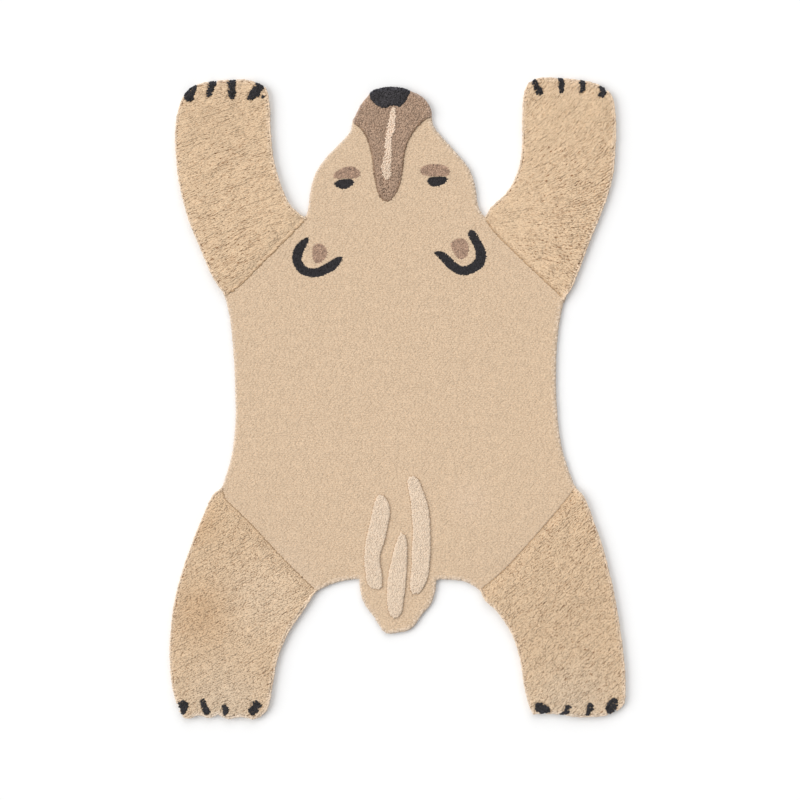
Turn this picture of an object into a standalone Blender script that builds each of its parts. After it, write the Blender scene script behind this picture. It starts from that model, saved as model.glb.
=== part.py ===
"""Kids rug in the outline of a bear lying flat on its belly, hand tufted in wool.

Head, torso and tail are one field of short pile. The four limbs are fields of long,
lumpy pile with locks along their rims. Muzzle, nose, eyes, brows, ears and three
strips at the tail are fields of their own yarn, let into the pile round them.

Metres, +Z up. The rug lies flat on z = 0, with +Y towards the head, and its middle
is on the Z axis.
"""

from collections import namedtuple

import bmesh
import bpy
import numpy as np
from mathutils import Vector, geometry, noise

MM = 0.001

# Driving dimensions.
GROUND_HEIGHT = 12.0 * MM  # short pile with its backing
SHAG_HEIGHT = 17.0 * MM  # long pile of the limbs, at the middle of its lumps
MUZZLE_HEIGHT = 16.0 * MM
STRIP_HEIGHT = 17.0 * MM
GAP = 0.35 * MM  # between neighbouring fields

RIM_STEP = 12.0 * MM  # spacing of the points along an edge
SHAG_STEP = 10.0 * MM  # the same along a limb's rim: half the spacing of its locks
DETAIL_STEP = 7.5 * MM
STRIP_STEP = 13.0 * MM

LOCK_REACH = 4.5 * MM  # how far a lock stands out of a limb's rim
LOCK_REACH_LEAST = 0.45  # the shortest lock, as a share of that
LOCK_CLEAR = 30.0 * MM  # locks grow to full length over this distance from a seam

LUMP_PITCH = 19.0 * MM
LUMP_LENGTH = 34.0 * MM  # from one lump to the next
LUMP_HEIGHT = 2.2 * MM
LUMP_JITTER = 0.3  # how far a point leaves its place, as a share of the pitch

CURVE_SAMPLES = 16  # points worked out between two control points
MITRE_MOST = 1.6

# How a field's side wall rises. height is a share of the field's height, free and seam
# are the distances drawn in from the outline there, in millimetres, and lock is the
# share of a lock's reach.
Rim = namedtuple("Rim", "height free seam lock")

GROUND_RIM = (
    Rim(0.0, 1.5, 0.0, 0.0),
    Rim(0.55, 0.0, 0.0, 0.0),
    Rim(0.88, 1.2, 0.2, 0.0),
    Rim(1.0, 4.0, 1.2, 0.0),
)
SHAG_RIM = (
    Rim(0.0, 3.0, 0.0, 0.3),
    Rim(0.4, 1.5, 0.0, 1.0),
    Rim(0.8, 3.5, 1.0, 0.4),
    Rim(1.0, 8.0, 4.5, 0.0),
)
RAISED_RIM = (
    Rim(0.0, 1.5, 0.0, 0.0),
    Rim(0.6, 0.0, 0.0, 0.0),
    Rim(0.88, 1.2, 0.6, 0.0),
    Rim(1.0, 4.0, 2.5, 0.0),
)
LEVEL_RIM = (
    Rim(0.0, 0.0, 0.0, 0.0),
    Rim(0.93, 0.0, 0.0, 0.0),
    Rim(1.0, 1.0, 1.0, 0.0),
)

# Where two edges of the rug meet. Columns of all outline tables: x, y in millimetres.
CORNERS = {
    "armpit_left": (-231, 451),
    "armpit_right": (215, 452),
    "shoulder_left": (-433, 256),
    "shoulder_right": (414, 246),
    "hip_left": (-439, -222),
    "hip_right": (441, -221),
    "crotch_left": (-203, -480),
    "crotch_right": (203, -478),
    "tail_left": (-97, -449),
    "tail_right": (95, -451),
    "cheek_left": (-114, 691),
    "cheek_right": (83, 702),
    "nose_left": (-72, 760),
    "nose_right": (30, 767),
}

# An edge runs from one corner to another through the points between them. A free edge
# is the rug's own rim, and any other is a seam between two fields.
Edge = namedtuple("Edge", "start end free step between")

EDGES = {
    "head_left": Edge(
        "armpit_left", "cheek_left", True, RIM_STEP,
        ((-224, 476), (-219, 519), (-205, 564), (-176, 605), (-135, 647), (-119, 667)),
    ),
    "head_right": Edge(
        "cheek_right", "armpit_right", True, RIM_STEP,
        ((88, 679), (108, 653), (127, 632), (146, 610), (163, 591), (178, 570), (188, 542),
         (194, 514), (199, 479), (206, 464)),
    ),
    "torso_left": Edge(
        "shoulder_left", "hip_left", True, RIM_STEP,
        ((-421, 208), (-412, 129), (-407, 33), (-406, -61), (-416, -144)),
    ),
    "torso_right": Edge(
        "shoulder_right", "hip_right", True, RIM_STEP,
        ((403, 200), (394, 108), (394, -4), (404, -104), (420, -166)),
    ),
    "seat_left": Edge(
        "crotch_left", "tail_left", True, RIM_STEP,
        ((-181, -469), (-150, -457), (-123, -452)),
    ),
    "seat_right": Edge(
        "tail_right", "crotch_right", True, RIM_STEP,
        ((137, -452), (169, -457)),
    ),
    "tail": Edge(
        "tail_left", "tail_right", True, RIM_STEP,
        ((-95, -478), (-85, -511), (-58, -548), (-39, -578), (-30, -585), (-20, -586),
         (7, -582), (23, -579), (36, -571), (61, -536), (76, -520), (85, -504), (93, -476)),
    ),
    "muzzle_seam": Edge(
        "cheek_left", "cheek_right", False, RIM_STEP,
        ((-84, 661), (-67, 609), (-60, 553), (-49, 508), (-38, 494), (-28, 491),
         (-18, 494), (-9, 504), (8, 546), (15, 609), (24, 640), (38, 665), (59, 689)),
    ),
    "muzzle_rim_left": Edge(
        "nose_left", "cheek_left", True, RIM_STEP,
        ((-92, 736), (-106, 710)),
    ),
    "muzzle_rim_right": Edge(
        "cheek_right", "nose_right", True, RIM_STEP,
        ((84, 715), (71, 742), (50, 759)),
    ),
    "nose_rim": Edge(
        "nose_right", "nose_left", True, RIM_STEP,
        ((11, 774), (-8, 777), (-29, 776), (-49, 773), (-63, 768)),
    ),
    "nose_seam": Edge(
        "nose_left", "nose_right", False, RIM_STEP,
        ((-70, 749), (-62, 738), (-50, 729), (-36, 723), (-25, 727), (-15, 732), (-2, 727),
         (10, 731), (17, 740), (23, 752)),
    ),
    "arm_left_seam": Edge(
        "shoulder_left", "armpit_left", False, RIM_STEP,
        ((-409, 269), (-323, 352), (-238, 439)),
    ),
    "arm_right_seam": Edge(
        "shoulder_right", "armpit_right", False, RIM_STEP,
        ((375, 283), (299, 355), (232, 424)),
    ),
    "leg_left_seam": Edge(
        "hip_left", "crotch_left", False, RIM_STEP,
        ((-430, -251), (-414, -266), (-361, -318), (-304, -380), (-247, -437)),
    ),
    "leg_right_seam": Edge(
        "hip_right", "crotch_right", False, RIM_STEP,
        ((390, -285), (328, -356), (261, -428)),
    ),
    # Inner side of the arm, round the paw, and down the outer side.
    "arm_left_rim": Edge(
        "armpit_left", "shoulder_left", True, SHAG_STEP,
        ((-265, 478), (-292, 534), (-310, 599), (-317, 662), (-320, 734), (-330, 774),
         (-352, 788), (-379, 795), (-410, 795), (-475, 789), (-518, 776), (-539, 748),
         (-554, 694), (-556, 629), (-548, 543), (-524, 446), (-493, 371), (-462, 300)),
    ),
    "arm_right_rim": Edge(
        "armpit_right", "shoulder_right", True, SHAG_STEP,
        ((228, 475), (248, 493), (268, 513), (284, 536), (301, 580), (308, 639),
         (308, 696), (311, 751), (321, 783), (341, 797), (394, 800), (470, 791),
         (509, 777), (533, 755), (542, 704), (542, 633), (535, 554), (514, 481),
         (476, 386), (443, 299), (430, 270)),
    ),
    # Outer side of the leg, the foot with its four toes, and up the inner side.
    "leg_left_rim": Edge(
        "hip_left", "crotch_left", True, SHAG_STEP,
        ((-451, -227), (-467, -247), (-494, -309), (-530, -403), (-556, -495),
         (-568, -580), (-570, -639), (-565, -714), (-553, -760),
         (-540, -790), (-524, -799), (-499, -790), (-469, -797), (-449, -788),
         (-425, -799), (-393, -794), (-362, -799), (-342, -792), (-325, -773),
         (-315, -732), (-301, -653), (-272, -582), (-236, -529)),
    ),
    "leg_right_rim": Edge(
        "hip_right", "crotch_right", True, SHAG_STEP,
        ((458, -236), (476, -272), (489, -310), (505, -354), (534, -465), (553, -573),
         (564, -662), (567, -723), (563, -761), (542, -781), (514, -791), (438, -794),
         (402, -788), (352, -786), (336, -787), (326, -767), (312, -714), (301, -644),
         (279, -581), (244, -530), (220, -508), (209, -494)),
    ),
}

# Patches with a smooth outline of their own.
PATCHES = {
    "brow_left": (
        (-162, 556), (-152, 567), (-135, 575.5), (-116, 578.5), (-102, 572), (-93.5, 563),
        (-97, 552), (-106, 548.5), (-135, 549.5), (-152, 547.5), (-159, 548),
    ),
    "brow_right": (
        (55, 569), (58, 575.5), (70.5, 581.5), (93.5, 584.5), (112, 581.5), (124.5, 575.5),
        (128.5, 565), (126, 557), (112, 555), (70, 555), (60, 557),
    ),
    "eye_left": (
        (-160.5, 535), (-151.5, 543), (-138, 546), (-120.5, 546), (-111, 543.5),
        (-109, 538.5), (-114.5, 530), (-125, 523.5), (-134, 521.5), (-147.5, 523.5),
        (-157, 529.5),
    ),
    "eye_right": (
        (72, 542), (76, 549.5), (93.5, 552), (114, 552), (121.5, 550.5), (124, 544),
        (116.5, 536), (108, 531.5), (93.5, 528), (83, 528.5), (75.5, 534),
    ),
    "inner_ear_left": (
        (-214.5, 363), (-212.5, 378), (-203, 386), (-190.5, 385), (-180, 376), (-176, 363),
        (-178, 353), (-186.5, 342.5), (-201, 336), (-210.5, 342.5), (-213.5, 353),
    ),
    "inner_ear_right": (
        (131, 386), (139.5, 394.5), (151, 399), (164.5, 397), (173, 388), (176, 375.5),
        (175, 363), (169.5, 353), (156, 346), (144.5, 354), (136.5, 367), (132, 378),
    ),
}

# The ears' dark arcs, from tip to tip. Columns: x, y, half the width, in millimetres.
ARCS = {
    "ear_left": (
        (-224, 402, 2), (-229, 394, 7), (-238, 384, 11), (-247, 370, 12.5),
        (-252, 353, 12.5), (-249, 336, 12), (-238, 321, 11.5), (-218, 313, 11),
        (-196, 315, 12), (-177, 324, 12), (-159, 335, 12), (-148.5, 345, 9),
        (-141, 349, 5.5), (-138, 351, 2),
    ),
    "ear_right": (
        (182.5, 421, 3), (183, 413, 10), (189, 401, 11), (199, 383, 11),
        (205.5, 365, 13), (206.5, 351, 13.5), (202, 338, 14), (191, 328, 13),
        (177, 320.5, 11.5), (162, 318, 11.5), (149, 321.5, 11), (135, 331, 11.5),
        (122, 344, 11.5), (110.5, 355, 10.5), (101, 360, 7.5), (90, 363, 3),
    ),
}

# Upright strips, a row for each section from the top down. Columns: y, x of the left
# side, x of the right side, in millimetres.
STRIPS = {
    "tail_strip_left": (
        (-239, -49, -41), (-248, -56, -30), (-264, -60, -23.5), (-288, -66, -21),
        (-318, -73, -26.5), (-349, -80, -32.5), (-380, -84, -42.5), (-392, -84.5, -46.5),
        (-410, -84.5, -45), (-440, -81.5, -40.5), (-459, -78.5, -40), (-468, -72, -40),
        (-474, -60, -42),
    ),
    "tail_strip_middle": (
        (-335, 6, 13), (-343, 0, 18.5), (-361, -6, 21.5), (-380, -12, 22.5),
        (-410, -19, 22), (-440, -25, 20), (-471, -28, 17.5), (-502, -28, 13.5),
        (-526, -25, 10), (-537, -22, 6), (-547, -13, -3),
    ),
    "tail_strip_right": (
        (-194, 27, 41), (-201, 23, 50), (-212, 23, 55), (-227, 25.5, 60), (-246, 29, 68),
        (-264, 32, 73), (-288, 33.5, 77), (-318, 36, 79.5), (-349, 35.5, 80),
        (-380, 33.5, 80), (-410, 33.5, 78.5), (-435, 31.5, 75.5), (-456, 29, 69.5),
        (-471, 28.5, 62.5), (-482, 32, 54), (-487, 38, 47),
    ),
    "muzzle_stripe": (
        (726, -15, -11), (719, -17.5, -7.5), (697, -22, -8), (683, -26, -8),
        (666, -28, -10), (658, -30, -14.5), (633, -33, -17.5), (613, -32.5, -17.5),
        (596, -36.5, -17.5), (580, -40, -19.5), (560, -38.5, -18.5), (548, -35.5, -24),
    ),
}

# Yarn colours, as sRGB.
SAND = (0.862, 0.745, 0.620)
OAT = (0.870, 0.760, 0.640)
CREAM = (0.890, 0.800, 0.705)
TAUPE = (0.640, 0.535, 0.460)
CHARCOAL = (0.215, 0.210, 0.225)
YARN_ROUGHNESS = 0.95

# A closed line on the floor plan. free marks the points on the rug's own rim, and lock
# is how far a lock stands out of each.
Outline = namedtuple("Outline", "xy free lock")


def clear_scene():
    for obj in list(bpy.data.objects):
        bpy.data.objects.remove(obj, do_unlink=True)


def linear(srgb):
    return tuple(c / 12.92 if c <= 0.04045 else ((c + 0.055) / 1.055) ** 2.4 for c in srgb)


def yarn(name, srgb):
    material = bpy.data.materials.new(name + "_yarn")
    material.use_nodes = True
    shader = material.node_tree.nodes["Principled BSDF"]
    shader.inputs["Base Color"].default_value = (*linear(srgb), 1.0)
    shader.inputs["Roughness"].default_value = YARN_ROUGHNESS
    shader.inputs["Metallic"].default_value = 0.0
    material.diffuse_color = (*linear(srgb), 1.0)
    return material


def smooth_curve(points, closed):
    """Closely spaced points on a smooth curve through the given ones."""
    p = np.array(points, float)
    if closed:
        p = np.vstack([p[-1], p, p[0], p[1]])
    else:
        p = np.vstack([2 * p[0] - p[1], p, 2 * p[-1] - p[-2]])
    runs = []
    for a, b, c, d in zip(p, p[1:], p[2:], p[3:]):
        t0 = 0.0
        t1 = t0 + np.sqrt(np.linalg.norm(b - a))
        t2 = t1 + np.sqrt(np.linalg.norm(c - b))
        t3 = t2 + np.sqrt(np.linalg.norm(d - c))
        t = np.linspace(t1, t2, CURVE_SAMPLES, endpoint=False)[:, None]
        ab = ((t1 - t) * a + (t - t0) * b) / (t1 - t0)
        bc = ((t2 - t) * b + (t - t1) * c) / (t2 - t1)
        cd = ((t3 - t) * c + (t - t2) * d) / (t3 - t2)
        abc = ((t2 - t) * ab + (t - t0) * bc) / (t2 - t0)
        bcd = ((t3 - t) * bc + (t - t1) * cd) / (t3 - t1)
        runs.append(((t2 - t) * abc + (t - t1) * bcd) / (t2 - t1))
    runs.append(p[1][None] if closed else p[-2][None])
    return np.vstack(runs)


def spaced(curve, step, even=False):
    """The same curve with points at equal distances, near the step. Both ends are kept."""
    lengths = np.linalg.norm(np.diff(curve, axis=0), axis=1)
    along = np.concatenate([[0.0], np.cumsum(lengths)])
    count = max(2, round(along[-1] / step))
    if even:
        count += count % 2
    at = np.linspace(0.0, along[-1], count + 1)
    return np.stack([np.interp(at, along, curve[:, k]) for k in range(2)], axis=1)


def edge_points(name):
    edge = EDGES[name]
    points = (CORNERS[edge.start], *edge.between, CORNERS[edge.end])
    curve = smooth_curve(points, closed=False) * MM
    return spaced(curve, edge.step, even=edge.step == SHAG_STEP)


def signed_area(xy):
    x, y = xy.T
    return 0.5 * np.sum(x * np.roll(y, -1) - y * np.roll(x, -1))


def anticlockwise(xy, free, lock):
    if signed_area(xy) < 0:
        return Outline(xy[::-1], free[::-1], lock[::-1])
    return Outline(xy, free, lock)


def lock_reach(points, seed):
    """Every second point is a lock's tip. Locks shrink towards the seam at each end."""
    reach = np.random.default_rng(seed).uniform(LOCK_REACH_LEAST, 1.0, len(points))
    reach[::2] = 0.0
    steps = np.arange(len(points)) * SHAG_STEP
    from_seam = np.minimum(steps, steps[::-1])
    return LOCK_REACH * reach * np.clip(from_seam / LOCK_CLEAR, 0.0, 1.0)


def chain(start, *names, seed=0):
    """The outline along the named edges, each turned the way that the walk goes."""
    corner = start
    runs, free, lock = [], [], []
    for name in names:
        edge = EDGES[name]
        points = edge_points(name)
        reach = np.zeros(len(points))
        if edge.step == SHAG_STEP:
            reach = lock_reach(points, seed)
        if edge.start != corner:
            points, reach = points[::-1], reach[::-1]
        corner = edge.start if edge.start != corner else edge.end
        runs.append(points[:-1])
        lock.append(reach[:-1])
        on_rim = np.full(len(points) - 1, float(edge.free))
        on_rim[0] = 0.0
        free.append(on_rim)
    return anticlockwise(np.vstack(runs), np.concatenate(free), np.concatenate(lock))


def let_in(points, step):
    """The outline of a field that has other fields all round it."""
    xy = spaced(smooth_curve(points, closed=True) * MM, step)[:-1]
    return anticlockwise(xy, np.zeros(len(xy)), np.zeros(len(xy)))


def arc_outline(rows):
    """A band along a curved centre line."""
    line = smooth_curve(rows, closed=False)[:: CURVE_SAMPLES // 2]
    along = np.gradient(line[:, :2], axis=0)
    along /= np.linalg.norm(along, axis=1)[:, None]
    side = np.stack([-along[:, 1], along[:, 0]], axis=1) * line[:, 2:]
    return let_in([*(line[:, :2] + side), *(line[:, :2] - side)[::-1]], DETAIL_STEP)


def strip_outline(rows, step):
    left = [(x_left, y) for y, x_left, x_right in rows]
    right = [(x_right, y) for y, x_left, x_right in rows]
    return let_in([*left, *right[::-1]], step)


def drawn_in(outline, distance):
    """The outline's points moved inwards by a distance, or one for each point."""
    xy = outline.xy
    ahead = np.roll(xy, -1, axis=0) - xy
    ahead /= np.linalg.norm(ahead, axis=1)[:, None]
    behind = np.roll(ahead, 1, axis=0)
    inward = np.stack([-(ahead + behind)[:, 1], (ahead + behind)[:, 0]], axis=1)
    size = np.linalg.norm(inward, axis=1)[:, None]
    mitre = np.minimum(2.0 / size, MITRE_MOST)
    return xy + inward / size * mitre * np.reshape(distance, (-1, 1))


def inside(points, xy):
    """Which points lie inside a closed line."""
    x, y = np.asarray(points, float).T[:, :, None]
    x0, y0 = xy.T
    x1, y1 = np.roll(xy, -1, axis=0).T
    spans = (y0 > y) != (y1 > y)
    crossing = x0 + (y - y0) * (x1 - x0) / np.where(y1 == y0, 1.0, y1 - y0)
    return np.sum(spans & (x < crossing), axis=1) % 2 == 1


def lump(x, y):
    return LUMP_HEIGHT * noise.noise(Vector((x, y, 0.0)) / LUMP_LENGTH)


def scattered(xy, pitch):
    """Points inside a closed line on a staggered grid, each a little out of its place."""
    low, high = xy.min(axis=0), xy.max(axis=0)
    row_height = pitch * np.sqrt(0.75)
    points = []
    for row, y in enumerate(np.arange(low[1], high[1], row_height)):
        for x in np.arange(low[0] + (row % 2) * pitch / 2, high[0], pitch):
            shift = noise.noise_vector(Vector((x, y, 0.5)) / pitch) * (LUMP_JITTER * pitch)
            points.append((x + shift.x, y + shift.y))
    points = np.array(points)
    points = points[inside(points, xy)]
    near = np.linalg.norm(points[:, None] - xy[None], axis=2).min(axis=1)
    return points[near > pitch * 0.5]


def fill(bm, loops, loose, upward):
    """Triangles inside the first loop of vertices, outside the others, through the loose ones."""
    verts = [v for loop in loops for v in loop] + list(loose)
    borders = []
    first = 0
    for loop in loops:
        count = len(loop)
        borders += [(first + k, first + (k + 1) % count) for k in range(count)]
        first += count
    places = [v.co.xy for v in verts]
    _, _, faces, sources, _, _ = geometry.delaunay_2d_cdt(places, borders, [], 1, 1e-8)
    corners = [[verts[sources[k][0]] for k in face] for face in faces]
    middles = [sum((v.co.xy for v in face), Vector((0, 0))) / 3 for face in corners]
    for loop in loops[1:]:
        filled = inside(middles, np.array([v.co.xy for v in loop]))
        corners = [face for face, out in zip(corners, ~filled) if out]
        middles = [middle for middle, out in zip(middles, ~filled) if out]
    for face in corners:
        bm.faces.new(face if upward else face[::-1])


def wall(bm, lower, upper):
    for k in range(len(lower)):
        n = (k + 1) % len(lower)
        bm.faces.new((lower[k], lower[n], upper[n], upper[k]))


def field(name, outline, height, rim, srgb, holes=(), lumpy=False):
    """One field of pile: flat underneath, with a rim that rises and rounds in to its top."""
    bm = bmesh.new()

    def top(x, y):
        return height + (lump(x, y) if lumpy else 0.0)

    rings = []
    for row in rim:
        free = np.maximum(row.free * MM, GAP / 2) * outline.free
        seam = (row.seam * MM + GAP / 2) * (1.0 - outline.free)
        xy = drawn_in(outline, free + seam - row.lock * outline.lock)
        rings.append([bm.verts.new((x, y, row.height * top(x, y))) for x, y in xy])
    for lower, upper in zip(rings, rings[1:]):
        wall(bm, lower, upper)

    floors, tops = [rings[0]], [rings[-1]]
    for hole in holes:
        xy = drawn_in(hole, -GAP / 2)
        floor = [bm.verts.new((x, y, 0.0)) for x, y in xy]
        brim = [bm.verts.new((x, y, top(x, y))) for x, y in xy]
        wall(bm, floor[::-1], brim[::-1])
        floors.append(floor)
        tops.append(brim)

    loose = []
    if lumpy:
        places = scattered(np.array([v.co.xy for v in rings[-1]]), LUMP_PITCH)
        loose = [bm.verts.new((x, y, top(x, y))) for x, y in places]
    fill(bm, floors, (), upward=False)
    fill(bm, tops, loose, upward=True)

    bmesh.ops.recalc_face_normals(bm, faces=bm.faces)
    mesh = bpy.data.meshes.new(name)
    bm.to_mesh(mesh)
    bm.free()
    mesh.shade_smooth()
    mesh.set_sharp_from_angle(angle=np.radians(40.0))
    mesh.materials.append(yarn(name, srgb))
    obj = bpy.data.objects.new(name, mesh)
    bpy.context.scene.collection.objects.link(obj)
    return obj


def make_limbs():
    field("arm_left", chain("armpit_left", "arm_left_rim", "arm_left_seam", seed=1),
          SHAG_HEIGHT, SHAG_RIM, SAND, lumpy=True)
    field("arm_right", chain("armpit_right", "arm_right_rim", "arm_right_seam", seed=2),
          SHAG_HEIGHT, SHAG_RIM, SAND, lumpy=True)
    field("leg_left", chain("hip_left", "leg_left_rim", "leg_left_seam", seed=3),
          SHAG_HEIGHT, SHAG_RIM, SAND, lumpy=True)
    field("leg_right", chain("hip_right", "leg_right_rim", "leg_right_seam", seed=4),
          SHAG_HEIGHT, SHAG_RIM, SAND, lumpy=True)


def make_let_in_fields():
    """The small fields inside the short pile. Returns the outlines of their holes."""
    holes = []
    for name, points in PATCHES.items():
        colour = CHARCOAL if name.startswith("eye") else TAUPE
        outline = let_in(points, DETAIL_STEP)
        field(name, outline, GROUND_HEIGHT, LEVEL_RIM, colour)
        holes.append(outline)
    for name, rows in ARCS.items():
        outline = arc_outline(rows)
        field(name, outline, GROUND_HEIGHT, LEVEL_RIM, CHARCOAL)
        holes.append(outline)
    for name, rows in STRIPS.items():
        if name == "muzzle_stripe":
            continue
        outline = strip_outline(rows, STRIP_STEP)
        field(name, outline, STRIP_HEIGHT, RAISED_RIM, CREAM)
        holes.append(outline)
    return holes


def make_muzzle():
    stripe = strip_outline(STRIPS["muzzle_stripe"], DETAIL_STEP)
    field("muzzle_stripe", stripe, MUZZLE_HEIGHT, LEVEL_RIM, CREAM)
    field("nose", chain("nose_left", "nose_seam", "nose_rim"),
          MUZZLE_HEIGHT, RAISED_RIM, CHARCOAL)
    around = chain("cheek_left", "muzzle_seam", "muzzle_rim_right", "nose_seam",
                   "muzzle_rim_left")
    field("muzzle", around, MUZZLE_HEIGHT, RAISED_RIM, TAUPE, holes=[stripe])


def make_body(holes):
    around = chain(
        "armpit_left", "head_left", "muzzle_seam", "head_right", "arm_right_seam",
        "torso_right", "leg_right_seam", "seat_right", "tail", "seat_left",
        "leg_left_seam", "torso_left", "arm_left_seam",
    )
    field("body", around, GROUND_HEIGHT, GROUND_RIM, OAT, holes=holes)


def centre_on_floor():
    """Moves every mesh by one distance, so that the rug's middle is on the Z axis."""
    meshes = [obj.data for obj in bpy.context.scene.objects]
    places = np.array([v.co for mesh in meshes for v in mesh.vertices])
    middle = (places.min(axis=0) + places.max(axis=0)) / 2
    for mesh in meshes:
        for v in mesh.vertices:
            v.co.x -= middle[0]
            v.co.y -= middle[1]


clear_scene()
make_limbs()
make_muzzle()
make_body(make_let_in_fields())
centre_on_floor()
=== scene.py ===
# %% [markdown]
# # A bear shaped rug, tufted in wool
#
# A hand tufted rug is made on a frame. A canvas is stretched on it, and a tufting gun
# shoots thousands of short lengths of yarn through the canvas. Where the gun holds its
# yarn low the pile is short and velvety, and where it is set high the pile is long and
# falls into lumps. A change of yarn on the gun makes a patch of another colour.
#
# The solids in the frame already have the right outline and height for each field of
# pile. This script dresses them: it cuts one canvas to the whole outline, lays a dense
# bed of yarn under each field, and plants every tuft on it as real geometry, so the
# pile catches the light, throws its own shade, and frays at the rug's edge.

import math
from collections import namedtuple

import bmesh
import bpy
import numpy as np
from mathutils import Matrix, Vector, noise
from mathutils.bvhtree import BVHTree


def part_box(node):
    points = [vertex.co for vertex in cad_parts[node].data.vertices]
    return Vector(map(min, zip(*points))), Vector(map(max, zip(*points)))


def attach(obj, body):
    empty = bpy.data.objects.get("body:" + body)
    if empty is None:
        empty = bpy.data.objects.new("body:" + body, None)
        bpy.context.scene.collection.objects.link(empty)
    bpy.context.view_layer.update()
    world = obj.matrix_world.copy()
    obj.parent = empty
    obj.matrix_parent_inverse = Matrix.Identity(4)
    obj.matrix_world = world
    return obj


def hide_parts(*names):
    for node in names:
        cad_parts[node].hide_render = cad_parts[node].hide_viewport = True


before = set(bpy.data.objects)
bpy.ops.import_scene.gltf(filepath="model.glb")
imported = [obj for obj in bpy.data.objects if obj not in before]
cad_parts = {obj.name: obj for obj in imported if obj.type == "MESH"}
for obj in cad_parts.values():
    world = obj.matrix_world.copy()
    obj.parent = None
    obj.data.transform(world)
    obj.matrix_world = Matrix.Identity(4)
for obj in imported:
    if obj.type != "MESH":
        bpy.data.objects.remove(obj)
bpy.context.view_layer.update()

MM = 0.001
UP = Vector((0.0, 0.0, 1.0))
SHORT_TOP = 12.0  # the short pile's height, in millimetres

print("nodes:", ", ".join(sorted(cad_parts)))

# %% [markdown]
# ## Camera
#
# The photograph looks straight down on the rug. A short lens would show the sides of
# the raised limbs, so the camera stands high above with a long lens, which keeps the
# view almost parallel. Its height follows from the width of floor that the picture
# takes in.

# %% Camera straight above
PICTURE_WIDTH = 1.9936  # of floor, in metres
PICTURE_MIDDLE = (0.0060, -0.0038)
LENS = 100.0
SENSOR = 36.0


def placed(name, data):
    """Puts a mesh, a lamp or a camera into the scene as an object."""
    obj = bpy.data.objects.new(name, data)
    bpy.context.scene.collection.objects.link(obj)
    return obj


camera_data = bpy.data.cameras.new("camera")
camera_data.lens = LENS
camera_data.sensor_width = SENSOR
camera = placed("camera", camera_data)
camera.location = (*PICTURE_MIDDLE, PICTURE_WIDTH * LENS / SENSOR + SHORT_TOP * MM)
bpy.context.scene.camera = camera
print("camera height:", round(camera.location.z, 3), "m")

# %% [markdown]
# ## Floor and light
#
# The floor is plain and nearly white. A large soft lamp up on the left gives each tuft
# a light side and a dark side, and the rug its faint shadow on the right. A weaker one
# beyond the head brings out the rows that run from side to side, and shades the near
# edges. A pale sky fills in the rest, and a plain view transform keeps the yarn's own
# colours. Sun lamps do for studio lamps that stand far away: their angle is how large
# they look from the rug.

# %% Floor, lamps and sky
FLOOR_HALF = 14.0  # large enough that no view from the side shows its end
FLOOR_COLOUR = (0.88, 0.885, 0.89, 1.0)
LAMP_COLOUR = (1.0, 0.985, 0.965)
# Columns: name, where the light comes from, its softness in degrees, its power.
LAMPS = (
    ("soft_lamp_left", Vector((-2.4, 0.1, 2.05)), 52, 2.10),
    ("soft_lamp_head_end", Vector((0.3, 2.4, 2.1)), 55, 1.30),
)
SKY_LIGHT = 0.458
SKY_COLOUR = (0.975, 0.985, 1.0, 1.0)


def linear(srgb):
    """A colour as the screen shows it, in the values that light is worked out with."""
    return tuple(c / 12.92 if c <= 0.04045 else ((c + 0.055) / 1.055) ** 2.4 for c in srgb)


def finished(name, bm, material):
    """Makes a bmesh an object with a material."""
    mesh = bpy.data.meshes.new(name)
    bm.to_mesh(mesh)
    bm.free()
    mesh.materials.append(material)
    return placed(name, mesh)


floor_paint = bpy.data.materials.new("floor_paint")
floor_paint.use_nodes = True
floor_shader = floor_paint.node_tree.nodes["Principled BSDF"]
floor_shader.inputs["Base Color"].default_value = FLOOR_COLOUR
floor_shader.inputs["Roughness"].default_value = 0.9

floor_bm = bmesh.new()
bmesh.ops.create_grid(floor_bm, x_segments=1, y_segments=1, size=FLOOR_HALF)
floor = finished("floor", floor_bm, floor_paint)

for name, source, softness, power in LAMPS:
    lamp_data = bpy.data.lights.new(name, "SUN")
    lamp_data.angle = math.radians(softness)
    lamp_data.energy = power
    lamp_data.color = LAMP_COLOUR
    lamp = placed(name, lamp_data)
    lamp.location = source
    lamp.rotation_euler = source.to_track_quat("Z", "Y").to_euler()

sky = bpy.data.worlds.new("sky")
sky.use_nodes = True
sky.node_tree.nodes["Background"].inputs["Color"].default_value = SKY_COLOUR
sky.node_tree.nodes["Background"].inputs["Strength"].default_value = SKY_LIGHT
bpy.context.scene.world = sky
bpy.context.scene.view_settings.view_transform = "Standard"
print("floor:", 2 * FLOOR_HALF, "m wide; lamps:", ", ".join(name for name, *_ in LAMPS))

# %% [markdown]
# ## Shader tools
#
# A wool finish mixes many small things: darker roots, tufts that took the dye a little
# differently, faint bands where the gun turned. Written as nodes one by one, that is
# hard to read. So a small class wraps a node's output, and Python's own operators then
# add the Math nodes. Every other kind of node comes from one method, `add`.


# %% Sockets that take part in sums
class Number:
    """One output of a shader node, which + - * and / can use."""

    def __init__(self, finish, socket):
        self.finish = finish
        self.socket = socket

    def _maths(self, operation, first, second):
        return self.finish.add("Math", {"operation": operation}, {0: first, 1: second})

    def __add__(self, other):
        return self._maths("ADD", self, other)

    def __radd__(self, other):
        return self._maths("ADD", other, self)

    def __sub__(self, other):
        return self._maths("SUBTRACT", self, other)

    def __rsub__(self, other):
        return self._maths("SUBTRACT", other, self)

    def __mul__(self, other):
        return self._maths("MULTIPLY", self, other)

    def __rmul__(self, other):
        return self._maths("MULTIPLY", other, self)

    def __truediv__(self, other):
        return self._maths("DIVIDE", self, other)

    def size(self):
        return self._maths("ABSOLUTE", self, 0.0)

    def clipped(self):
        return self.finish.add("Clamp", {}, {"Value": self, "Min": 0.0, "Max": 1.0})


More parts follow.
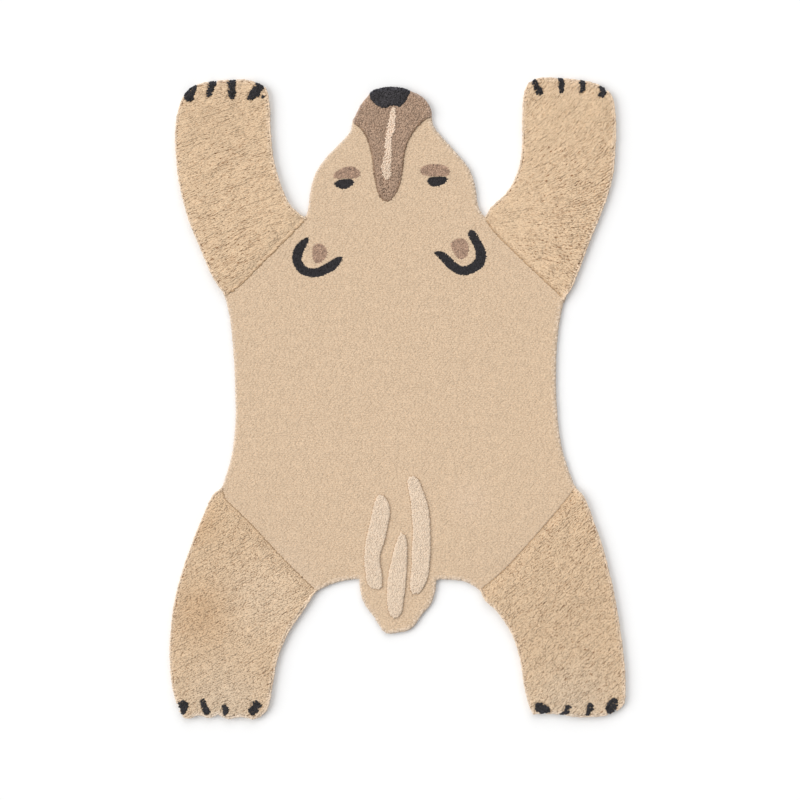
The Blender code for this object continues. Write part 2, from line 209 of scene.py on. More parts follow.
# %% [markdown]
# The second class is the finish itself. Each of its methods adds a node or two that the
# yarns and the canvas need, under the name of what it does.


# %% A finish in the making
def eased(share):
    """A share from 0 to 1 with a soft start and end, for sockets and arrays alike."""
    return share * share * (3.0 - 2.0 * share)


class Finish:
    """A material in the making, around one Principled shader."""

    def __init__(self, name):
        self.material = bpy.data.materials.new(name)
        self.material.use_nodes = True
        self.tree = self.material.node_tree
        self.shader = self.tree.nodes["Principled BSDF"]

    def plug(self, socket, value):
        if isinstance(value, Number):
            self.tree.links.new(value.socket, socket)
        else:
            socket.default_value = value

    def add(self, kind, settings, sockets, output=0):
        node = self.tree.nodes.new("ShaderNode" + kind)
        for key, value in settings.items():
            setattr(node, key, value)
        for key, value in sockets.items():
            self.plug(node.inputs[key], value)
        return Number(self, node.outputs[output])

    def set(self, socket, value):
        self.plug(self.shader.inputs[socket], value)

    def places(self):
        return self.add("TexCoord", {}, {}, "Object")

    def attribute(self, name):
        return self.add("Attribute", {"attribute_name": name}, {}, "Fac")

    def row_places(self, long, wide):
        """Places along and across the rows, for a pattern of that length and width."""
        sockets = {"X": self.attribute("along") / long, "Y": self.attribute("across") / wide}
        return self.add("CombineXYZ", {}, sockets)

    def times(self, vector, factors):
        """A colour tinted, or places stretched, by a factor for each of three parts."""
        return self.add("VectorMath", {"operation": "MULTIPLY"}, {0: vector, 1: factors})

    def noise(self, places, scale, detail=2.0):
        """Noise from -1 to 1, with its middle at 0."""
        sockets = {"Vector": places, "Scale": scale, "Detail": detail}
        return self.add("TexNoise", {}, sockets, "Fac") * 2.0 - 1.0

    def mix(self, factor, first, second):
        """Two colours mixed."""
        return self.add("Mix", {"data_type": "RGBA"}, {0: factor, 6: first, 7: second}, 2)

    def scaled(self, colour, factor):
        """A colour made lighter or darker."""
        return self.add("VectorMath", {"operation": "SCALE"}, {0: colour, "Scale": factor})

    def near(self, places, x, y, reach):
        """1 at a place on the rug, falling softly to 0 at a distance."""
        sockets = {0: places, 1: (x * MM, y * MM, 0.0)}
        away = self.add("VectorMath", {"operation": "DISTANCE"}, sockets, "Value")
        return eased((1.0 - away / (reach * MM)).clipped())


# %% [markdown]
# ## Yarns
#
# The rug has six yarns. The two sand ones aren't even in the photograph: there are tan
# and pale areas on them, which are soft patches here. Each has a place, a reach and a
# tint, by which red, green and blue are multiplied in its middle. The nose's patch is a
# painted sheen, and the stripe's is partly painted light, which lifts it out of the shade
# of the pile round it.

# %% Colours of the yarns
SAND = linear((0.838, 0.732, 0.607))
OAT = linear((0.799, 0.705, 0.599))
CREAM = linear((0.868, 0.788, 0.700))
TAUPE = linear((0.676, 0.571, 0.488))
DEEP_TAUPE = linear((0.667, 0.554, 0.476))
CHARCOAL = linear((0.164, 0.158, 0.170))

TAN = (0.92, 0.86, 0.79)
DULL = (0.94, 0.935, 0.93)
PALE = (1.03, 1.04, 1.07)
PALER = (1.05, 1.09, 1.15)
LEG = (0.935, 0.935, 0.94)
FOOT = (0.95, 1.01, 1.10)
ARM = (1.01, 1.01, 1.015)
# partly painted light: it lifts the narrow stripe out of the shade of the pile round it
STRIPE_LIGHT = (1.14, 1.13, 1.16)
# a painted sheen on the charcoal nose
NOSE_PAINTED_SHEEN = (2.15, 2.15, 2.10)

# Places and reaches are in millimetres from the middle of the rug.
Patch = namedtuple("Patch", "x y reach tint")

SAND_PATCHES = (
    Patch(-430, -560, 420, LEG),
    Patch(430, -560, 420, LEG),
    Patch(430, 520, 380, ARM),
    Patch(-501, -304, 95, TAN),
    Patch(-487, -533, 125, TAN),
    Patch(-325, -500, 190, PALER),
    Patch(179, -254, 85, PALE),
    Patch(-450, 690, 130, DULL),
    Patch(-430, 800, 90, PALE),
    Patch(430, 800, 90, PALE),
    Patch(-430, -790, 210, FOOT),
    Patch(440, -790, 210, FOOT),
)
STRIPE_PATCHES = (Patch(-30, 660, 160, STRIPE_LIGHT),)
NOSE_SHEEN_PATCHES = (Patch(-25, 755, 90, NOSE_PAINTED_SHEEN),)
print("sand wool has", len(SAND_PATCHES), "patches")

# %% [markdown]
# ## Partings
#
# Where long pile parts, one looks down between the tufts, into a short line of shade
# along the row. A few long furrows join such lines, as where the rug was rolled up. Both
# are far finer than tufts can be here, so they are painted shade: noise stretched along
# the rows, which only darkens and warms the yarn. The mesh carries each point's place
# `along` and `across` the rows, in millimetres, for this.

# %% Partings and furrows
PARTING_LONG = 10.5
PARTING_WIDE = 2.7
PARTING_DETAIL = 1.5
PARTING_SHARE = 0.21  # a higher value leaves fewer lines
PARTING_EDGE = 4.0  # a higher value makes them crisper
FURROW_LONG = 70.0
FURROW_WIDE = 16.0
FURROW_EDGE = 16.0
FURROW_DEPTH = 0.55  # as a share of the partings' depth

# Columns: x, y, reach, and how much deeper the lines are there. Below 0 they are fainter.
PARTED = (
    (-407, 370, 150, 1.1), (403, 370, 150, 1.5), (403, 544, 130, 1.0), (-420, 569, 140, 0.9),
    (-440, -620, 190, -0.5), (450, 730, 90, -0.4),
    (428, -328, 140, 1.0), (440, -520, 160, 0.6), (478, -702, 130, 0.7),
)


def parting_shade(finish, places, partings):
    """How deep in a parting each point is, which sets its painted shade."""
    fold = finish.noise(finish.row_places(PARTING_LONG, PARTING_WIDE), 1.0, PARTING_DETAIL)
    furrow = finish.noise(finish.row_places(FURROW_LONG, FURROW_WIDE), 1.0).size()
    furrow = (1.0 - furrow * FURROW_EDGE).clipped() * (fold + 0.5).clipped() * FURROW_DEPTH
    depth = partings
    for x, y, reach, deeper in PARTED:
        depth = depth + finish.near(places, x, y, reach) * (deeper * partings)
    return (((fold - PARTING_SHARE) * PARTING_EDGE).clipped() + furrow) * depth


print("the lines are deeper or fainter in", len(PARTED), "places")

# %% [markdown]
# ## Wool
#
# All the wool is matt. What gives it depth is that light hardly reaches the roots, which
# is painted here as shade, darker towards each root, and that no two tufts are the same
# shade. So the mesh carries three more numbers: `reach`, from 0 at a tuft's root to 1 at
# its tip, which sets that painted shade, `shade`, the tuft's own small step lighter or
# darker, and `rim`, which is 1 at the rug's own edge. There the loose ends stand alone,
# and a painted highlight makes them pale, which also lifts the side of the edge turned
# away from the lamps. A little sheen lifts the colour at low angles, as the fine fibres
# do, and a fibre bump breaks up each tuft's surface.

# %% How a wool finish is put together
WHITE = (1.0, 1.0, 1.0, 1.0)
ROOT_SHADE_TINT = (0.68, 0.61, 0.53)  # painted shade at the roots, as a share of the tips' colour
TIP_START = 1.5  # the tips' full colour starts at a reach of 1 over this
PARTING_SHADE_TINT = (0.25, 0.10, 0.0, 1.0)  # the painted shade of a parting at its full depth
# a painted highlight along the rug's own edge, which also lifts its shaded side
RIM_HIGHLIGHT_TINT = (1.18, 1.27, 1.44, 1.0)
CLOUD_SCALE = 9.0
CLOUD_SHARE = 0.35  # large clouds, as a share of the tufts' unevenness
BAND_STRETCH = (6.0, 90.0, 0.0)  # the gun's passes run from side to side
GRAIN_SCALE = 340.0
FIBRE_SCALE = 800.0
FIBRE_SHARE = 0.3
STRAND_LONG = 5.5  # in millimetres
STRAND_WIDE = 2.8
SHEEN = 0.12
SHEEN_TINT = (1.0, 0.95, 0.9, 1.0)


def wool(name, yarn, unevenness, patches=(), bands=0.0, speckle=0.0, partings=0.0, relief=0.3):
    """A yarn's finish. Unevenness is how far tufts differ in shade, speckle how far the
    fibres in a tuft do, and bands how far the gun's passes do."""
    finish = Finish(name)
    places = finish.places()
    clouds = finish.noise(places, CLOUD_SCALE, 3.0)
    grain = finish.noise(places, GRAIN_SCALE, 1.0)
    level = 1.0 + finish.attribute("shade") * unevenness
    level = level + clouds * (unevenness * CLOUD_SHARE) + grain * speckle
    if bands:
        level = level + finish.noise(finish.times(places, BAND_STRETCH), 1.0, 3.0) * bands
    # Painted shade: each tuft darkens towards its root, where light hardly reaches.
    root = tuple(c * share for c, share in zip(yarn, ROOT_SHADE_TINT))
    lit = (finish.attribute("reach") * TIP_START).clipped()
    colour = finish.scaled(finish.mix(lit, (*root, 1.0), (*yarn, 1.0)), level)
    # Patches tint the yarn: the nose's is a painted sheen, and the stripe's partly painted
    # light.
    tints = [(finish.near(places, *patch[:3]), (*patch.tint, 1.0)) for patch in patches]
    # The rug's edge gets its painted highlight.
    tints.append((finish.attribute("rim"), RIM_HIGHLIGHT_TINT))
    # Partings get their painted shade.
    if partings:
        tints.append((parting_shade(finish, places, partings).clipped(), PARTING_SHADE_TINT))
    for amount, tint in tints:
        colour = finish.times(colour, finish.mix(amount, WHITE, tint))
    finish.set("Base Color", colour)
    finish.set("Roughness", 0.95)
    finish.set("Sheen Weight", SHEEN)
    finish.set("Sheen Roughness", 0.6)
    finish.set("Sheen Tint", SHEEN_TINT)
    finish.set("Specular IOR Level", 0.2)
    height = finish.noise(finish.row_places(STRAND_LONG, STRAND_WIDE), 1.0, 1.0)
    height = height + finish.noise(places, FIBRE_SCALE) * FIBRE_SHARE
    bump = {"Strength": relief, "Distance": 1.0 * MM, "Height": height}
    finish.set("Normal", finish.add("Bump", {}, bump, "Normal"))
    return finish.material


# %% [markdown]
# The short pile is cut even, so it differs least. The brown and charcoal yarns are
# blends of darker and lighter fibres, which shows as a coarse speckle.

# %% The finishes
LONG_WOOL = wool(
    "sand_wool_long", SAND, 0.05, SAND_PATCHES, speckle=0.20, partings=0.60, relief=0.4
)
SHORT_WOOL = wool("oat_wool_short", OAT, 0.02, SAND_PATCHES, bands=0.03, speckle=0.34)
CREAM_WOOL = wool("cream_wool", CREAM, 0.06, STRIPE_PATCHES, speckle=0.10)
TAUPE_WOOL = wool("taupe_wool", TAUPE, 0.16, speckle=0.30, partings=0.24, relief=0.5)
DEEP_TAUPE_WOOL = wool("deep_taupe_wool", DEEP_TAUPE, 0.26, speckle=0.45)
CHARCOAL_WOOL = wool("charcoal_wool", CHARCOAL, 0.36, NOSE_SHEEN_PATCHES, speckle=0.50)
print("nodes in the long wool:", len(LONG_WOOL.node_tree.nodes))

# %% [markdown]
# ## Canvas
#
# The backing is a plain cotton canvas. Two waves at right angles make its threads, and
# their product is high where one thread lies over another. The threads' pitch gives the
# waves' scale.

# %% Canvas finish
CANVAS = linear((0.86, 0.83, 0.77))
THREAD_PITCH = 1.6 * MM
WAVE_PERIOD = math.pi / 10  # of a wave texture whose scale is 1
THREAD_SHADE = 0.12
SLUB_STRETCH = (900.0, 120.0, 900.0)
SLUB_SHADE = 0.05


def canvas():
    finish = Finish("cotton_canvas")
    places = finish.places()
    sockets = {"Vector": places, "Scale": WAVE_PERIOD / THREAD_PITCH}
    warp, weft = (
        finish.add("TexWave", {"wave_type": "BANDS", "bands_direction": way}, sockets, "Fac")
        for way in "XY"
    )
    threads = warp * weft
    slubs = finish.noise(finish.times(places, SLUB_STRETCH), 1.0)
    level = 1.0 - THREAD_SHADE + threads * THREAD_SHADE + slubs * SLUB_SHADE
    finish.set("Base Color", finish.scaled(CANVAS, level))
    finish.set("Roughness", 0.9)
    bump = {"Strength": 0.6, "Distance": 0.3 * MM, "Height": threads + slubs * 0.2}
    finish.set("Normal", finish.add("Bump", {}, bump, "Normal"))
    return finish.material


CANVAS_CLOTH = canvas()
print("canvas threads:", round(THREAD_PITCH / MM, 1), "mm apart")

# %% [markdown]
# ## Reading the fields
#
# Each field's solid says how far its pile reaches. Its mesh comes as loose triangles,
# so a copy is merged first. The ring round its underside is its outline on the floor,
# and rays shot at the copy find the top of the pile at any place.


# %% Copies, outlines and surfaces
def merged_copy(node):
    bm = bmesh.new()
    bm.from_mesh(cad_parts[node].data)
    bmesh.ops.remove_doubles(bm, verts=bm.verts, dist=0.02 * MM)
    bm.normal_update()
    return bm


def is_underside(face):
    return face.normal.z < -0.9


def rings_of(bm):
    """The closed lines round the underside, the longest first, as rows of x and y."""
    after = {}
    for face in filter(is_underside, bm.faces):
        for loop in face.loops:
            across = [f for f in loop.edge.link_faces if f is not face]
            if not any(is_underside(f) for f in across):
                after[loop.vert] = loop.link_loop_next.vert
    rings = []
    while after:
        vert, ahead = after.popitem()
        ring = [vert.co.xy]
        while ahead in after:
            ring.append(ahead.co.xy)
            ahead = after.pop(ahead)
        rings.append(np.array(ring)[::-1])
    return sorted(rings, key=len, reverse=True)


def inside(points, ring):
    """Which points lie inside a closed line."""
    x, y = points.T[:, :, None]
    x0, y0 = ring.T
    x1, y1 = np.roll(ring, -1, axis=0).T
    spans = (y0 > y) != (y1 > y)
    crossing = x0 + (y - y0) * (x1 - x0) / np.where(y1 == y0, 1.0, y1 - y0)
    return np.sum(spans & (x < crossing), axis=1) % 2 == 1


def distance_to(points, ring):
    """How far points are from a closed line."""
    start, along = ring, np.roll(ring, -1, axis=0) - ring
    offset = points[:, None] - start
    share = np.clip((offset * along).sum(2) / (along * along).sum(1), 0.0, 1.0)
    return np.linalg.norm(offset - share[:, :, None] * along, axis=2).min(1)


Field = namedtuple("Field", "rings tree")


def read_field(node):
    bm = merged_copy(node)
    found = Field(rings_of(bm), BVHTree.FromBMesh(bm))
    bm.free()
    return found


FIELDS = {node: read_field(node) for node in sorted(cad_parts)}
for node, found in FIELDS.items():
    print(node, "has outlines of", [len(ring) for ring in found.rings], "points")

# %% [markdown]
# ## Backing
#
# The rug has one canvas under everything. The undersides of all the solids are copied
# into one mesh, and merging across the hair-thin gaps between them makes one sheet with
# a single edge. Extruding it gives the canvas its thickness. It is the rug's only sheet
# of cloth, cut to the outline of the whole bear.

# %% Cut the canvas
CANVAS_THICKNESS = 1.6 * MM
SEAM_GAP = 0.9 * MM  # more than any gap between fields, less than any detail


def cut_canvas():
    bm = bmesh.new()
    for node in FIELDS:
        bm.from_mesh(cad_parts[node].data)
    bm.normal_update()
    others = [face for face in bm.faces if not is_underside(face)]
    bmesh.ops.delete(bm, geom=others, context="FACES")
    bmesh.ops.remove_doubles(bm, verts=bm.verts, dist=SEAM_GAP)
    for face in bm.faces:
        if face.normal.z > 0:
            face.normal_flip()
    return bm


canvas_bm = cut_canvas()
RUG_RING = rings_of(canvas_bm)[0]
canvas_area = sum(face.calc_area() for face in canvas_bm.faces)
print("canvas:", round(canvas_area, 4), "square metres,", len(rings_of(canvas_bm)), "edge")

raised = bmesh.ops.extrude_face_region(canvas_bm, geom=canvas_bm.faces[:])
lifted = [part for part in raised["geom"] if isinstance(part, bmesh.types.BMVert)]
bmesh.ops.translate(canvas_bm, verts=lifted, vec=UP * CANVAS_THICKNESS)
bmesh.ops.recalc_face_normals(canvas_bm, faces=canvas_bm.faces)
backing = finished("backing", canvas_bm, CANVAS_CLOTH)
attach(backing, "root")

# %% [markdown]
# ## One tuft
#
# From a step away a cut tuft is a small soft bead: a stem that widens a little and ends
# in a low dome. A cone with four sides, its top face poked to a point, is enough where
# the dome is smooth shaded, and keeps the whole rug under a million triangles. The
# template is one unit tall and one unit in radius, and is placed and scaled later.

# %% Tuft template
TUFT_SIDES = 4
TOP_WIDTH = 0.92


def tuft_template(dome):
    """A tuft's points and faces. Dome is the share of its height above the stem."""
    bm = bmesh.new()
    bmesh.ops.create_cone(
        bm, cap_ends=True, cap_tris=False, segments=TUFT_SIDES,
        radius1=1.0, radius2=TOP_WIDTH, depth=1.0 - dome,
    )
    bmesh.ops.translate(bm, verts=bm.verts, vec=UP * (1.0 - dome) / 2)
    bmesh.ops.rotate(bm, verts=bm.verts, matrix=Matrix.Rotation(math.pi / 4, 3, "Z"))
    bm.normal_update()
    top = max(bm.faces, key=lambda face: face.calc_center_median().z)
    bmesh.ops.poke(bm, faces=[top], offset=dome)
    bm.verts.index_update()
    shape = np.array([v.co for v in bm.verts])
    faces = [[v.index for v in face.verts] for face in bm.faces]
    bm.free()
    return shape, faces


sample_shape, sample_faces = tuft_template(0.1)
print("a tuft has", len(sample_shape), "points and", len(sample_faces), "faces")

# %% [markdown]
# ## Kinds of pile
#
# Each kind of pile is a style, in millimetres. Tufts stand a `pitch` apart in rows, each
# out of its place by its `jitter`, a share of the pitch. `wide` and `deep` stretch it
# along and across the row, `length` is its height and `dome` the part above its stem.
# `uneven`, `splay` and `proud` say how its tip strays, and `twist` how it turns. The row
# at an edge strays by `ragged`. The bed underneath is lowered by `bed_depth` and drawn
# in by `side_inset`.
#
# On long pile, neighbours along a row cling together in clumps: their tips `gather` at
# the clump's middle, and a `crease` opens between one clump and the next. That gives
# the limbs their grain. The legs' pile is finer and more tousled than the arms'. Where
# a raised field meets the short pile it rolls down over its `seam_span`.
#
# Round the rug's own edge tufts also stand in a few rows up the side, the `rim`. Each
# row has a height, a size as a share of the style's, a spacing, the least and most that
# its tips stand past their place, and how far it leans outwards. The top row closes the
# pile near its full height, and the thin tufts beside it are the loose fringe.

# %% Pile styles
Style = namedtuple(
    "Style",
    "pitch wide deep dome length bed_depth side_inset jitter ragged twist uneven splay"
    " proud clump_long clump_wide gather crease clump_uneven lean seam_span rim_length rim",
)
RimRow = namedtuple("RimRow", "height size spacing least most out", defaults=(0.3,))

SHORT = Style(
    pitch=5.7, wide=7.2, deep=5.4, dome=0.12, length=4.6, bed_depth=0.25, side_inset=3.4,
    jitter=(0.4, 0.2), ragged=0.3, twist=0.35, uneven=0.04, splay=0.0, proud=0.0,
    clump_long=14.0, clump_wide=8.66, gather=(0.03, 0.03), crease=0.0, clump_uneven=0.02,
    lean=(0.5, -0.7), seam_span=0.0, rim_length=4.5,
    rim=(RimRow(4.6, 0.8, 4.0, -1.2, -0.2), RimRow(11.2, 0.8, 4.0, -0.8, 0.2)),
)
LONG = Style(
    pitch=4.5, wide=6.8, deep=3.3, dome=0.32, length=8.5, bed_depth=2.2, side_inset=3.2,
    jitter=(0.45, 0.22), ragged=0.8, twist=0.25, uneven=0.16, splay=0.0, proud=0.0,
    clump_long=14.0, clump_wide=8.66, gather=(0.02, 0.08), crease=0.9, clump_uneven=0.08,
    lean=(0.3, -1.0), seam_span=30.0, rim_length=7.0,
    rim=(
        RimRow(3.4, 0.6, 4.2, -2.2, -0.9), RimRow(7.2, 0.6, 4.2, -2.2, -0.9),
        RimRow(11.0, 0.6, 4.2, -1.9, -0.7), RimRow(16.2, 0.9, 4.2, -0.8, 0.2),
        RimRow(12.5, 0.26, 2.8, -0.6, 3.2, 0.6), RimRow(15.0, 0.26, 2.8, -0.6, 2.8, 0.6),
    ),
)
FLEECE = LONG._replace(
    wide=5.2, deep=3.5, jitter=(0.42, 0.3), twist=0.5, clump_long=9.0, gather=(0.04, 0.1),
)
FINE = SHORT._replace(
    pitch=3.4, wide=3.0, deep=3.0, length=4.4, side_inset=0.6, lean=(0.1, -0.2), ragged=0.2,
    twist=3.0, splay=0.9, proud=0.3,
)
RAISED = FINE._replace(
    pitch=4.0, wide=3.4, deep=3.4, length=6.0, dome=0.35, bed_depth=1.4, uneven=0.28,
    ragged=0.6, splay=1.0, proud=0.0, clump_long=8.0, clump_wide=6.93, gather=(0.08, 0.08),
    crease=0.6, clump_uneven=0.12, seam_span=14.0, rim_length=5.0,
    rim=(
        RimRow(4.0, 0.8, 3.2, -1.0, 0.2), RimRow(8.5, 0.8, 3.2, -1.0, 0.2),
        RimRow(14.6, 0.8, 3.2, -1.0, 0.2),
    ),
)
STRIPE = RAISED._replace(
    pitch=2.8, wide=2.6, deep=2.6, ragged=0.3, splay=1.7, proud=1.0, crease=0.0, seam_span=0.0,
)
STRIP = RAISED._replace(
    uneven=0.14, clump_uneven=0.08, ragged=0.2, splay=0.5, bed_depth=0.8, crease=0.2,
    seam_span=0.0,
)
NOSE = RAISED._replace(
    pitch=3.6, wide=3.2, deep=3.2, splay=1.5, proud=0.7, seam_span=0.0,
    rim=(
        RimRow(5.0, 0.8, 3.2, 1.0, 3.0, 0.6), RimRow(9.5, 0.6, 2.6, 2.0, 5.5, 0.6),
        RimRow(14.0, 0.6, 2.6, 1.0, 4.0, 0.6),
    ),
)
CLAW = LONG._replace(
    pitch=3.2, wide=3.7, deep=3.0, twist=1.0, splay=1.7, proud=0.9, crease=0.6,
    clump_uneven=0.3,
)

print("long tufts are", LONG.length, "mm long, short ones", SHORT.length, "mm")

# %% [markdown]
# ## Rows
#
# The gun works in rows, so tufts stand in rows too. A limb's rows bend: its `rows` say
# at what angle they run at a few heights on the rug. So places are worked out in the
# rows' own measures first, where the rows are straight, and are then bent over the rug.
# A slow wander keeps the rows from looking ruled. It comes from Blender's vector noise,
# which takes its pattern from the clock unless it is seeded. With a seed the rug comes
# out the same each time.

# %% Straight rows and bent ones
LEVEL_ROWS = ((0, 0),)
ROW_GAP = math.sqrt(0.75)  # between rows, in pitches, where tufts are all equally near
WANDER = 4.5  # how far rows stray from their course, in millimetres
WANDER_SPAN = 24.0
WANDER_LAYER = 3.0
NOISE_SEED = 7

noise.seed_set(NOISE_SEED)


def row_angles(rows):
    """The rows' angle at every height on the rug, and how far they climb up to there."""
    heights, degrees = np.array(sorted(rows), float).T
    y = np.arange(-1.0, 1.0, MM)  # metres, further than the rug reaches
    angle = np.radians(np.interp(y / MM, heights, degrees))
    return y, angle, np.cumsum(np.sin(angle)) * MM, np.cumsum(np.cos(angle)) * MM


def in_rows(points, rows, middle_x):
    """Places measured along and across the rows, in millimetres, and the angle there."""
    y, angle, climb_along, climb_across = row_angles(rows)
    here = np.interp(points[:, 1], y, angle)
    x = points[:, 0] - middle_x
    along = x * np.cos(here) + np.interp(points[:, 1], y, climb_along)
    across = np.interp(points[:, 1], y, climb_across) - x * np.sin(here)
    return np.stack([along, across], 1) / MM, here


def out_of_rows(places, rows, middle, steps=12):
    """The reverse of in_rows: each step turns what is still missing into a shift."""
    points = np.tile(middle, (len(places), 1))
    for _ in range(steps):
        reached, here = in_rows(points, rows, middle[0])
        along, across = ((places - reached) * MM).T
        points[:, 0] += along * np.cos(here) - across * np.sin(here)
        points[:, 1] += along * np.sin(here) + across * np.cos(here)
    return points


def strays(points, span, layer):
    """Slow shifts sideways, from -1 to 1. Each layer of the noise is another pattern."""
    return np.array([noise.noise_vector(Vector((x, y, layer)) / span)[:2] for x, y in points])


def wander(places):
    return strays(places, WANDER_SPAN, WANDER_LAYER) * WANDER


def row_grid(ring, style, rows, middle, rng):
    """Staggered rows all over a closed line: their places, and the same in rows."""
    rim, _ = in_rows(ring, rows, middle[0])
    low, high = rim.min(0) - 2 * WANDER, rim.max(0) + 2 * WANDER
    gap = style.pitch * ROW_GAP
    low[1] = math.floor(low[1] / (2 * gap)) * 2 * gap + gap / 2
    across, along = np.arange(low[1], high[1], gap), np.arange(low[0], high[0], style.pitch)
    x, y = np.meshgrid(along, across)
    x[::2] += style.pitch / 2
    places = np.stack([x.ravel(), y.ravel()], 1)
    jitter = rng.uniform(-1.0, 1.0, places.shape) * style.jitter * style.pitch
    return out_of_rows(places + jitter + wander(places), rows, middle), places


print("rows of long pile are", round(LONG.pitch * ROW_GAP, 1), "mm apart")

# %% [markdown]
# ## Edges
#
# A grid alone would leave a ragged outline. So a row of tufts follows each outline just
# inside it, and the grid keeps clear of that row. Beside another field the row stands
# closer to the line, so that no gap opens at the seam.

# %% Places along an edge
EDGE_ROW = 0.42  # how far a field's outermost row stands inside its outline, in pitches
FREE_ROW = 0.52  # the same where the outline is the rug's own edge
RING_STRAY = 0.2  # how far a tuft strays along the row
GRID_CLEAR = 0.85  # how far the grid keeps from an outline, in pitches
HOLE_CLEAR = 0.35  # how far one outline's row keeps from another outline
RIM_CLEAR = 0.6  # and from the rug's own edge
LOOK_OUT = 3.0 * MM  # the length of a step that leads off the rug or onto a neighbour


def along_ring(ring, pitch, shift, rng):
    """Places a pitch apart along a closed line, with the way out at each."""
    ahead = np.roll(ring, -1, axis=0) - ring
    lengths = np.linalg.norm(ahead, axis=1)
    start = np.concatenate([[0.0], np.cumsum(lengths)])
    count = max(3, round(start[-1] / pitch))
    stray = rng.uniform(-RING_STRAY, RING_STRAY, count)
    at = (np.arange(count) + shift + stray) * start[-1] / count
    at %= start[-1]
    piece = np.searchsorted(start, at, side="right") - 1
    points = ring[piece] + ahead[piece] * ((at - start[piece]) / lengths[piece])[:, None]
    out = np.stack([ahead[:, 1], -ahead[:, 0]], 1) / lengths[:, None]
    return points, out[piece]


def is_free(points, out):
    """Where a field's outline is the rug's own edge: a step out leads off the rug."""
    return ~inside(points + out * LOOK_OUT, RUG_RING)


def field_points(field, style, rows, rng):
    """Where a field's tufts stand: a row just inside every edge, and a grid between."""
    pitch = style.pitch * MM
    middle = field.rings[0].mean(0)
    points, places = row_grid(field.rings[0], style, rows, middle, rng)
    good = inside(points, field.rings[0])
    for hole in field.rings[1:]:
        good &= ~inside(points, hole)
    points, places = points[good], places[good]
    edge_rows = []
    for ring in field.rings:
        good = distance_to(points, ring) > GRID_CLEAR * pitch
        points, places = points[good], places[good]
        edge, out = along_ring(ring, pitch, 0.0, rng)
        stray = rng.normal(0.0, style.ragged * MM, len(edge))[:, None]
        inset = np.where(is_free(edge, out), FREE_ROW, EDGE_ROW)[:, None] * pitch
        edge = edge + out * (stray - inset)
        for other in field.rings:
            if other is not ring:
                edge = edge[distance_to(edge, other) > HOLE_CLEAR * pitch]
        edge_rows.append(edge)
    edge = np.concatenate(edge_rows)
    edge = edge[distance_to(edge, RUG_RING) > RIM_CLEAR * pitch]
    edge_places, _ = in_rows(edge, rows, middle[0])
    edge_places -= wander(edge_places)
    return np.concatenate([points, edge]), np.concatenate([places, edge_places])


rug_line = np.linalg.norm(np.roll(RUG_RING, -1, axis=0) - RUG_RING, axis=1).sum()
print("the rug's edge is", round(rug_line, 2), "m long")

# %% [markdown]
# ## Clumps and creases
#
# Clumps lie along the rows like bricks in a wall, each line of them shifted from the
# last. How deep the creases between them open follows slow noise, so some run on for a
# while and others stay nearly shut.

# %% Group tufts into clumps
CLUMP_STAGGER = 0.37  # how far each line of clumps is shifted from the last, in clumps
CREASE_LONG = 20.0  # how far a crease runs before it closes
CREASE_WIDE = 9.0
CREASE_LAYER = 8.0
CREASE_MEAN = 0.45  # a crease's usual strength
CREASE_SWING = 2.2
CREASE_LEAST, CREASE_MOST = 0.1, 1.8


def clumps_of(places, style):
    """Each tuft's clump, the way to the clump's middle, and the place across it."""
    line = np.floor(places[:, 1] / style.clump_wide)
    shifted = places[:, 0] / style.clump_long + 0.5 * (line % 2) + CLUMP_STAGGER * line
    cells = np.stack([line, np.floor(shifted)])
    _, clumps = np.unique(cells, axis=1, return_inverse=True)
    clumps = clumps.ravel()
    size = np.bincount(clumps)
    middle = np.stack([np.bincount(clumps, places[:, k]) / size for k in range(2)], 1)
    return clumps, middle[clumps] - places, 0.5 - (places[:, 1] / style.clump_wide - line)


def crease_strength(places):
    spots = [Vector((x / CREASE_LONG, y / CREASE_WIDE, CREASE_LAYER)) for x, y in places]
    strength = CREASE_MEAN + CREASE_SWING * np.array([noise.noise(spot) for spot in spots])
    return np.clip(strength, CREASE_LEAST, CREASE_MOST)


# %% [markdown]
# ## Heights near an edge
#
# Where a limb or the muzzle meets the short pile it rolls down until a small step is
# left. The muzzle's front stands proud of the head instead. Closeness to the rug's own
# edge is a number of its own, for the painted highlight along the rim and for the pile's
# height there.

# %% Measure from the edges
RIM_SPAN = 9.0  # how far the painted highlight at the rim reaches inwards
SEAM_STEP = 1.6  # what is left of the long pile's extra height at its seam
CHEEK_Y = 560.0  # above this the muzzle stands proud of the head to its very edge
CHEEK_SPAN = 60.0


def near_rim(points):
    """1 at the rug's own edge, falling to 0 inside it."""
    share = np.clip(distance_to(points[:, :2], RUG_RING) / MM / RIM_SPAN, 0.0, 1.0)
    return np.where(inside(points[:, :2], RUG_RING), 1.0 - share, 1.0)


def rolled_off(style, points, level):
    """Heights that fall gently to a level where a raised field meets the short pile."""
    if not style.seam_span:
        return points[:, 2]
    share = distance_to(points[:, :2], FIELDS["body"].rings[0]) / (style.seam_span * MM)
    if style is RAISED:
        share += np.clip((points[:, 1] / MM - CHEEK_Y) / CHEEK_SPAN, 0.0, 1.0)
    above = np.maximum(points[:, 2] - level * MM, 0.0)
    return points[:, 2] - above * (1.0 - eased(np.clip(share, 0.0, 1.0)))


# %% [markdown]
# ## Tufts on top
#
# The tips end on the solid's own surface, which rays from above find. Near the rug's
# edge the pile stays almost at its full height, as cut pile does. The tips then shift:
# to their clump's middle, the way the whole pile leans, and up on one side of a crease
# and down on the other.

# %% Plant the top of a field
Tufts = namedtuple("Tufts", "roots tips sides clumps sizes")

